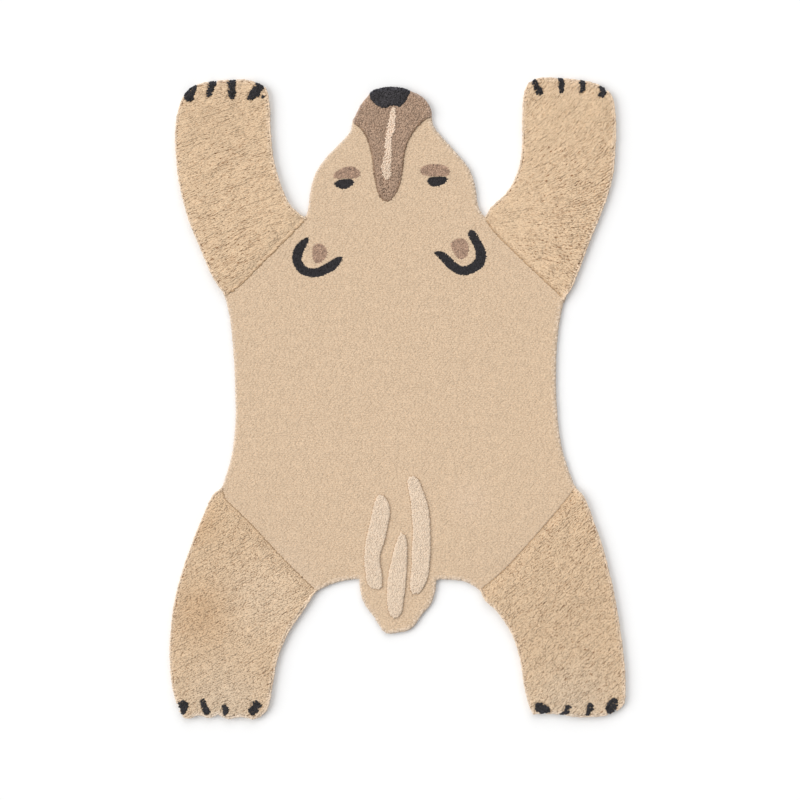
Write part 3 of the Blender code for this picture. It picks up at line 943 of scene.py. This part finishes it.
RAY_START = 0.1  # in metres, above everything
STEEPEST = 0.5  # least upward part of a surface's normal where tufts grow from above
UPRIGHT = np.array((0.0, 0.0, 1.5))  # added to the normal, as tufts would rather stand up
EDGE_DROP = 0.5  # how far the pile's top falls towards the rug's own edge
LOWEST_RISE, HIGHEST_RISE = -2.5, 1.5


def found_on_top(field, points, places):
    """What rays from above meet: the spots, the surface's normals, and places in rows."""
    tips, normals, good = [], [], []
    for x, y in points:
        spot, normal, _, _ = field.tree.ray_cast(Vector((x, y, RAY_START)), -UP)
        good.append(spot is not None and normal.z > STEEPEST)
        if good[-1]:
            tips.append(spot)
            normals.append(normal)
    return np.array(tips), np.array(normals), places[good]


def top_tufts(field, style, rows, keep, rng):
    """Tufts that grow up from a field."""
    points, places = field_points(field, style, rows, rng)
    chosen = keep(points)
    tips, normals, places = found_on_top(field, points[chosen], places[chosen])
    rim = near_rim(tips)
    tips[:, 2] += rim * np.maximum(np.median(tips[:, 2]) - EDGE_DROP * MM - tips[:, 2], 0.0)
    normals += rim[:, None] * (np.array(UP) - normals)
    upright = normals + UPRIGHT
    upright /= np.linalg.norm(upright, axis=1)[:, None]
    roots = tips - upright * style.length * MM

    clumps, to_middle, climb = clumps_of(places, style)
    strength = crease_strength(places)
    shift = to_middle * np.array(style.gather)
    shift[:, 1] *= strength
    shift += np.array(style.lean)
    _, angle = in_rows(tips, rows, field.rings[0][:, 0].mean())
    cos, sin = np.cos(angle), np.sin(angle)
    tips[:, 0] += (shift[:, 0] * cos - shift[:, 1] * sin) * MM
    tips[:, 1] += (shift[:, 0] * sin + shift[:, 1] * cos) * MM
    rise = climb * style.crease * strength
    rise += rng.normal(0.0, style.uneven, len(tips))
    rise += rng.normal(0.0, style.clump_uneven, clumps.max() + 1)[clumps]
    tips[:, 2] += (np.clip(rise, LOWEST_RISE, HIGHEST_RISE) + style.proud) * MM
    tips[:, :2] += rng.normal(0.0, style.splay, (len(tips), 2)) * MM
    tips[:, 2] = rolled_off(style, tips, SHORT_TOP + SEAM_STEP + style.proud)
    sides = np.stack([cos, sin, np.zeros(len(cos))], 1)
    return Tufts(roots, tips, sides, clumps, np.ones(len(tips)))


# %% [markdown]
# ## Tufts at the rim
#
# Rays from the side find how far the solid's wall stands out. Its locks are evened out
# along the rim, because loose yarn hides their steps. Most rows grow only where nothing
# lies beside the field. The cream strips and the muzzle's stripe stand so much higher
# than what is round them that their top row shows all round.

# %% Plant the rim of a field
SEAM_RISE = 2.5  # rows show at a seam from this far above the short pile
WALL_START = 30.0  # how far outside the outline its rays start
WALL_HEIGHT = 7.5  # up to here the solids' sides stand straight
ROOT_FLOOR = 0.8 * MM  # roots stay above the floor
RIM_INSET = 2.3  # how far the rim's tufts start inside the solid's side
EVEN_SPAN = 9  # places along the rim over which the solid's locks are evened out


def side_reach(field, points, out, height):
    """How far a field's side stands out from its outline at a height."""
    reach = []
    for (x, y), (nx, ny) in zip(points, out):
        outward = Vector((nx, ny, 0.0))
        start = Vector((x, y, height * MM)) + outward * (WALL_START * MM)
        place, _, _, away = field.tree.ray_cast(start, -outward, 2 * WALL_START * MM)
        reach.append(math.nan if place is None else WALL_START * MM - away)
    reach = np.array(reach)
    reach = np.where(np.isnan(reach), np.nanmedian(reach), reach)
    wrapped = np.concatenate([reach[-(EVEN_SPAN // 2):], reach, reach[:EVEN_SPAN // 2]])
    return np.convolve(wrapped, np.ones(EVEN_SPAN) / EVEN_SPAN, "valid")


def rim_tufts(field, style, keep, rng):
    """Tufts that stand out from a field's side, all round where nothing hides it."""
    roots, tips, sides, sizes = [], [], [], []
    for number, row in enumerate(style.rim):
        points, out = along_ring(field.rings[0], row.spacing * MM, 0.5 * (number % 2), rng)
        free = is_free(points, out)
        seam_shows = row.height > SHORT_TOP + SEAM_RISE and not style.seam_span
        use = (free | seam_shows) & keep(points)
        reach = side_reach(field, points, out, min(row.height, WALL_HEIGHT)) - RIM_INSET * MM
        points, out = points[use], out[use]
        out = np.concatenate([out, np.zeros((len(out), 1))], 1)
        height = np.full((len(points), 1), row.height * MM)
        place = np.concatenate([points, height], 1) + out * reach[use][:, None]
        grow = out * row.out + np.array(UP) * math.sqrt(1.0 - row.out ** 2)
        tips.append(place + grow * rng.uniform(row.least, row.most, (len(out), 1)) * MM)
        root = place - grow * style.rim_length * MM
        root[:, 2] = np.maximum(root[:, 2], ROOT_FLOOR)
        roots.append(root)
        sides.append(np.stack([-out[:, 1], out[:, 0], out[:, 2]], 1))
        sizes.append(np.full(len(out), row.size))
    roots, tips, sides, sizes = map(np.concatenate, (roots, tips, sides, sizes))
    return Tufts(roots, tips, sides, np.arange(len(tips)), sizes)


def everywhere(points):
    return np.ones(len(points), bool)


# %% [markdown]
# ## From places to a mesh
#
# Thousands of copies of the template are made in one go with arrays: every tuft gets
# its own axes and width, and all corners are worked out together. Each tuft also gets a
# square of its own on the texture map, seen from above with the root round the outside
# and the tip in the middle. A strip below the squares is left for the bed.

# %% Copy the template
Block = namedtuple("Block", "verts faces reach shade rim uv stems along across")

WIDTHS = (0.85, 1.15)  # least and most, as a share of the style's
OWN_SHADE = 0.7  # how far a tuft's shade usually is from the yarn's
FLOOR_CLEAR = 0.2 * MM  # no tuft reaches lower than this
BED_STRIP = 0.12  # of the map's height
CELL_ROOT = 0.64  # how far from its square's middle a tuft's root is drawn
CELL_SHOULDER = 0.40


def tuft_block(tufts, style, rows, middle, clump_shade, rng):
    """All the tufts' points and faces, and the numbers that go with them."""
    shape, tuft_faces = tuft_template(style.dome / style.length)
    count = len(tufts.tips)
    along = tufts.tips - tufts.roots
    axis = along / np.linalg.norm(along, axis=1)[:, None]
    side = tufts.sides - axis * (tufts.sides * axis).sum(1)[:, None]
    side /= np.linalg.norm(side, axis=1)[:, None]
    second = np.cross(axis, side)
    twist = rng.uniform(-style.twist, style.twist, count)[:, None]
    side, second = (
        side * np.cos(twist) + second * np.sin(twist),
        second * np.cos(twist) - side * np.sin(twist),
    )
    width = (tufts.sizes * rng.uniform(*WIDTHS, count))[:, None, None] * MM
    u, v, w = shape.T[:, None, :, None]
    verts = tufts.roots[:, None] + along[:, None] * w
    across = side[:, None] * (u * style.wide) + second[:, None] * (v * style.deep)
    verts = verts + width * across

    columns = math.ceil(math.sqrt(count / (1.0 - BED_STRIP)))
    cell = np.arange(count)
    corner = np.stack([cell % columns, cell // columns], 1) + 0.5
    spread = np.where(shape[:, 2] < 0.5, CELL_ROOT, CELL_SHOULDER)[:, None]
    uv = (corner[:, None] + shape[:, :2] * spread) / columns
    uv[:, :, 1] += BED_STRIP

    verts = verts.reshape(-1, 3)
    verts[:, 2] = np.maximum(verts[:, 2], FLOOR_CLEAR)
    in_line, _ = in_rows(verts[:, :2], rows, middle)
    own = rng.normal(0.0, OWN_SHADE, count)
    own += rng.normal(0.0, clump_shade, tufts.clumps.max() + 1)[tufts.clumps]
    starts = range(0, len(verts), len(shape))
    return Block(
        verts,
        [[start + k for k in face] for start in starts for face in tuft_faces],
        np.tile(shape[:, 2], count),
        np.repeat(own, len(shape)),
        np.repeat(near_rim(tufts.tips), len(shape)),
        uv.reshape(-1, 2),
        np.tile([len(face) == 4 for face in tuft_faces], count),
        *in_line.T,
    )


# %% [markdown]
# ## Beds
#
# Under the tufts lies the solid's own copy, drawn in at its sides and lowered, so that
# nothing shows between two tufts but more wool in the shade. That shade is painted: the
# bed is darker the deeper it lies, and its lower half takes the roots' colour. It is flat
# shaded: smooth shading would carry the tilt of its sides far over its long flat
# triangles.

# %% Make a bed
BED_CLEAR = 0.1 * MM
BED_REACH = 0.69  # a bed's `reach`, which sets its painted shade, if it lay level with the tips
BED_FALL = 0.11  # and what each millimetre of its depth takes from that, as painted shade
BED_RIM = 12.0 * MM  # nearer than this to the rug's edge, a bed is drawn in fully
BED_MARGIN = 0.95  # of its strip of the map
SEAM_INSET = 0.8  # how far a bed is drawn in where it meets another


def bed_block(node, style, rows=LEVEL_ROWS):
    """The field's copy, drawn in at its sides and lowered, on top of the canvas."""
    bm = merged_copy(node)
    low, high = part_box(node)
    floor_z = CANVAS_THICKNESS + BED_CLEAR
    share = (high.z - style.bed_depth * MM - floor_z) / high.z
    corners = np.array([vert.co for vert in bm.verts])
    out = np.array([vert.normal for vert in bm.verts])
    at_rim = distance_to(corners[:, :2], RUG_RING) < BED_RIM
    inset = np.where(at_rim, style.side_inset, min(style.side_inset, SEAM_INSET)) * MM
    verts = corners.copy()
    verts[:, :2] -= out[:, :2] * inset[:, None]
    verts[:, 2] = floor_z + corners[:, 2] * share
    verts[:, 2] = rolled_off(style, verts, SHORT_TOP + SEAM_STEP - style.bed_depth)
    for vert, place in zip(bm.verts, verts):
        vert.co = place
    bm.verts.index_update()
    faces = [[v.index for v in face.verts] for face in bm.faces]
    bm.free()
    uv = (verts[:, :2] - np.array(low.xy)) / np.array((high - low).xy)
    uv[:, 1] *= BED_STRIP * BED_MARGIN
    # Painted shade: a deeper bed is darker, and its lower half gets the roots' colour.
    reach = np.where(verts[:, 2] > high.z / 2, BED_REACH - BED_FALL * style.bed_depth, 0.0)
    in_line, _ = in_rows(verts[:, :2], rows, FIELDS[node].rings[0][:, 0].mean())
    level = np.zeros(len(verts))
    flat = np.ones(len(faces), bool)
    return Block(verts, faces, reach, level, level, uv, flat, *in_line.T)


# %% [markdown]
# ## Seams
#
# Along a seam the long pile presses its outermost tufts down on the short pile, and a
# thin line of shade shows. It is painted shade, made by taking from `reach` beside the
# seam, so the roots' painted shade comes up there.

# %% Paint shade along the seams
SEAM_LINE = 4.2  # how far from a seam its painted line of shade reaches, in millimetres
SEAM_CORE = 1.7  # within this it is at its darkest
SEAM_END = 8.0 * MM  # nearer than this to the rug's edge there is no line
CHUNK = 5000  # points at a time, to save memory


def paint_seam_shade(block):
    """Paints shade by taking from the reach of what lies right beside the short pile."""
    away = np.full(len(block.verts), SEAM_LINE)
    ring = FIELDS["body"].rings[0]
    for first in range(0, len(block.verts), CHUNK):
        part = slice(first, first + CHUNK)
        away[part] = distance_to(block.verts[part, :2], ring) / MM
    beside = away < SEAM_LINE
    free = distance_to(block.verts[beside, :2], RUG_RING) < SEAM_END
    share = np.where(free, 1.0, np.clip(away[beside] - SEAM_CORE, 0.0, None) / SEAM_LINE)
    block.reach[beside] *= share


# %% [markdown]
# ## Pieces
#
# Tufts and bed become one mesh, with the numbers that the finishes read stored on its
# points. Stems and beds are flat shaded and domes smooth. The piece rides on the rug,
# takes its yarn's finish, and stands in for the field's solid.


# %% Join a piece
def piece_of(name, blocks, material, slot, *nodes):
    """Joins the blocks into one object that rides on the rug and stands for its nodes."""
    verts = np.concatenate([block.verts for block in blocks])
    faces, first = [], 0
    for block in blocks:
        faces += [[first + k for k in face] for face in block.faces]
        first += len(block.verts)
    mesh = bpy.data.meshes.new(name)
    mesh.from_pydata(verts.tolist(), [], faces)
    mesh.shade_smooth()
    stems = np.concatenate([block.stems for block in blocks])
    mesh.attributes.new("sharp_face", "BOOLEAN", "FACE").data.foreach_set("value", stems)
    for key in ("reach", "shade", "rim", "along", "across"):
        values = np.concatenate([getattr(block, key) for block in blocks])
        mesh.attributes.new(key, "FLOAT", "POINT").data.foreach_set("value", values)
    corner_vert = np.empty(len(mesh.loops), np.int32)
    mesh.loops.foreach_get("vertex_index", corner_vert)
    uv = np.concatenate([block.uv for block in blocks])[corner_vert]
    mesh.uv_layers.new(name="OFBake").data.foreach_set("uv", uv.ravel())
    mesh.materials.append(material)
    obj = placed(name, mesh)
    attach(obj, "root")
    if nodes:
        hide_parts(*nodes)
    triangles = sum(len(face) - 2 for face in faces)
    print(f"{name}: {triangles} triangles")
    return obj


PILE_PIECES = []


def field_of_pile(name, node, style, material, slot, rows=LEVEL_ROWS, keep=everywhere,
                  bed=True, stands_for=True, seed=0, clump_shade=0.4):
    """Plants a field, or the part of it that is kept, and makes a piece of it."""
    rng = np.random.default_rng(seed)
    field = FIELDS[node]
    top = top_tufts(field, style, rows, keep, rng)
    rim = rim_tufts(field, style, keep, rng)
    rim = rim._replace(clumps=rim.clumps + top.clumps.max() + 1)
    joined = Tufts(*map(np.concatenate, zip(top, rim)))
    middle = field.rings[0][:, 0].mean()
    blocks = [tuft_block(joined, style, rows, middle, clump_shade, rng)]
    # A painted line of shade along the seam.
    if style.seam_span:
        paint_seam_shade(blocks[0])
    if bed:
        blocks.insert(0, bed_block(node, style, rows))
    nodes = (node,) if stands_for else ()
    PILE_PIECES.append(piece_of(name, blocks, material, slot, *nodes))


# %% [markdown]
# ## Claws
#
# Each limb ends in four small marks of charcoal yarn. They aren't pieces on top of the
# pile but tufts of the same height in another colour, so their edges are ragged. A mark
# is a short stroke of the gun: a line of points, each with half its width there. Tufts
# inside a stroke belong to the claws, and the limb leaves them out, with a margin for
# its own wider tufts. One claw has a stray dot of yarn beside it, a stroke of its own.

# %% Strokes of the claws
# Columns: x, y and half the width, in millimetres.
CLAWS = {
    "arm_left": (
        ((-505, 790, 5), (-511, 772, 8), (-520, 755, 12)),
        ((-459, 797, 8), (-465, 774, 8), (-470, 757, 5)),
        ((-412, 799, 7), (-412, 773, 8), (-414, 751, 6)),
        ((-340, 786, 11), (-352, 767, 11), (-365, 752, 8)),
        ((-338, 752, 3), (-336, 751, 3)),
    ),
    "arm_right": (
        ((337, 795, 2), (345, 778, 7), (353, 765, 8)),
        ((407, 799, 6), (408, 780, 6), (407, 765, 3)),
        ((461, 793, 5), (460, 777, 5), (457, 761, 3)),
        ((508, 777, 4), (512, 766, 7), (507, 756, 5)),
    ),
    "leg_left": (
        ((-534, -766, 12), (-536, -783, 4)),
        ((-486, -753, 4), (-480, -768, 6), (-475, -779, 7)),
        ((-432, -767, 5), (-430, -774, 8), (-428, -782, 4)),
        ((-352, -766, 11), (-361, -777, 9)),
    ),
    "leg_right": (
        ((353, -768, 11), (364, -773, 11)),
        ((424, -769, 5), (418, -779, 6), (409, -788, 4)),
        ((479, -765, 6), (477, -774, 7), (473, -784, 4)),
        ((537, -758, 11), (530, -771, 12)),
    ),
}


def in_stroke(points, stroke, margin):
    """Which points lie within a stroke's width."""
    line = np.array(stroke, float) * MM
    found = np.zeros(len(points), bool)
    for (x0, y0, half0), (x1, y1, half1) in zip(line, line[1:]):
        along = np.array((x1 - x0, y1 - y0))
        offset = points - (x0, y0)
        share = np.clip(offset @ along / (along @ along), 0.0, 1.0)
        away = np.linalg.norm(offset - share[:, None] * along, axis=1)
        found |= away < half0 + (half1 - half0) * share + margin
    return found


RAGGED = 3.0  # how far a claw's edge wanders, in millimetres
RAGGED_SPAN = 7 * MM
RAGGED_LAYER = 0.01
CLAW_MARGIN = 3.5 * MM  # kept clear by the limb's wider tufts


def in_claws(limb, margin=0.0):
    def test(points):
        strayed = points + strays(points, RAGGED_SPAN, RAGGED_LAYER) * RAGGED * MM
        found = [in_stroke(strayed, stroke, margin) for stroke in CLAWS[limb]]
        return np.any(found, axis=0)

    return test


def off_claws(limb):
    test = in_claws(limb, CLAW_MARGIN)
    return lambda points: ~test(points)


print("strokes on each limb:", {limb: len(strokes) for limb, strokes in CLAWS.items()})

# %% [markdown]
# ## Limbs
#
# The rows of long pile lie at an angle of their own on each limb, and bend most on the
# right arm. Left and right are as seen in the picture. The claws have no bed, because
# the limb's own lies under them. Every field has a seed of its own for its random
# numbers.

# %% Plant the limbs
# Height on the rug, in millimetres, and the rows' angle there in degrees.
LIMB_ROWS = {
    "arm_left": ((250, 32), (450, 22), (700, 18)),
    "arm_right": ((280, -28), (400, -5), (540, 28), (700, 47)),
    "leg_left": ((-700, 24), (-250, 32)),
    "leg_right": ((-700, 42), (-250, 42)),
}

LIMB_SEED = 10
CLAW_SEED = 10  # added to the limb's own

for seed, (limb, rows) in enumerate(LIMB_ROWS.items(), LIMB_SEED):
    style = FLEECE if limb.startswith("leg") else LONG
    field_of_pile(
        limb + "_pile", limb, style, LONG_WOOL, "long_pile",
        rows=rows, keep=off_claws(limb), seed=seed,
    )
    field_of_pile(
        limb + "_claws", limb, CLAW, CHARCOAL_WOOL, "charcoal_pile",
        rows=rows, keep=in_claws(limb), bed=False, stands_for=False, seed=seed + CLAW_SEED,
    )

# %% [markdown]
# ## Head, back and rump
#
# The short pile is one field on the real rug. Here it is three pieces, because a piece
# of more than two hundred thousand triangles is awkward to pass on. The cuts run
# between tufts and don't show, because all three draw the same random numbers. The bed
# is a piece of its own under all three.

# %% Plant the short pile
NECK_Y = 175 * MM
RUMP_Y = -105 * MM

SHORT_PARTS = {
    "head_pile": lambda points: points[:, 1] >= NECK_Y,
    "back_pile": lambda points: (points[:, 1] < NECK_Y) & (points[:, 1] >= RUMP_Y),
    "rump_pile": lambda points: points[:, 1] < RUMP_Y,
}

SHORT_SEED = 40

for name, part_of in SHORT_PARTS.items():
    field_of_pile(
        name, "body", SHORT, SHORT_WOOL, "short_pile",
        keep=part_of, bed=False, seed=SHORT_SEED,
    )
PILE_PIECES.append(
    piece_of("body_bed", [bed_block("body", SHORT)], SHORT_WOOL, "short_pile", "body")
)

# %% [markdown]
# ## Face, ears and tail
#
# The small fields have finer tufts, because their outlines have to read. Muzzle, nose,
# stripe and the strips on the tail stand higher than the short pile round them. Their
# tufts splay at random, which frays the outlines a little, as in the photograph.

# %% Plant the small fields
# Columns: nodes, style, yarn, slot.
SMALL_FIELDS = (
    ("muzzle", RAISED, TAUPE_WOOL, "taupe_pile"),
    ("nose", NOSE, CHARCOAL_WOOL, "charcoal_pile"),
    ("muzzle_stripe", STRIPE, CREAM_WOOL, "cream_pile"),
    ("tail_strip_left tail_strip_middle tail_strip_right", STRIP, CREAM_WOOL, "cream_pile"),
    ("brow_left brow_right", FINE, DEEP_TAUPE_WOOL, "taupe_pile"),
    ("inner_ear_left inner_ear_right", FINE, DEEP_TAUPE_WOOL, "taupe_pile"),
    ("eye_left eye_right ear_left ear_right", FINE, CHARCOAL_WOOL, "charcoal_pile"),
)

SMALL_SEED = 60
EVEN_SHADE = 0.15  # hardly any clumps of another shade

seed = SMALL_SEED
for nodes, style, material, slot in SMALL_FIELDS:
    for node in nodes.split():
        field_of_pile(
            node + "_pile", node, style, material, slot, seed=seed, clump_shade=EVEN_SHADE,
        )
        seed += 1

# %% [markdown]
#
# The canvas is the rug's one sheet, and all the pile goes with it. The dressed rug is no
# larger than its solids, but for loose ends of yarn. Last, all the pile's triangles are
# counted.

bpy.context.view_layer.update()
total = sum(
    len(polygon.vertices) - 2 for piece in PILE_PIECES for polygon in piece.data.polygons
)
print("pile in all:", total, "triangles")
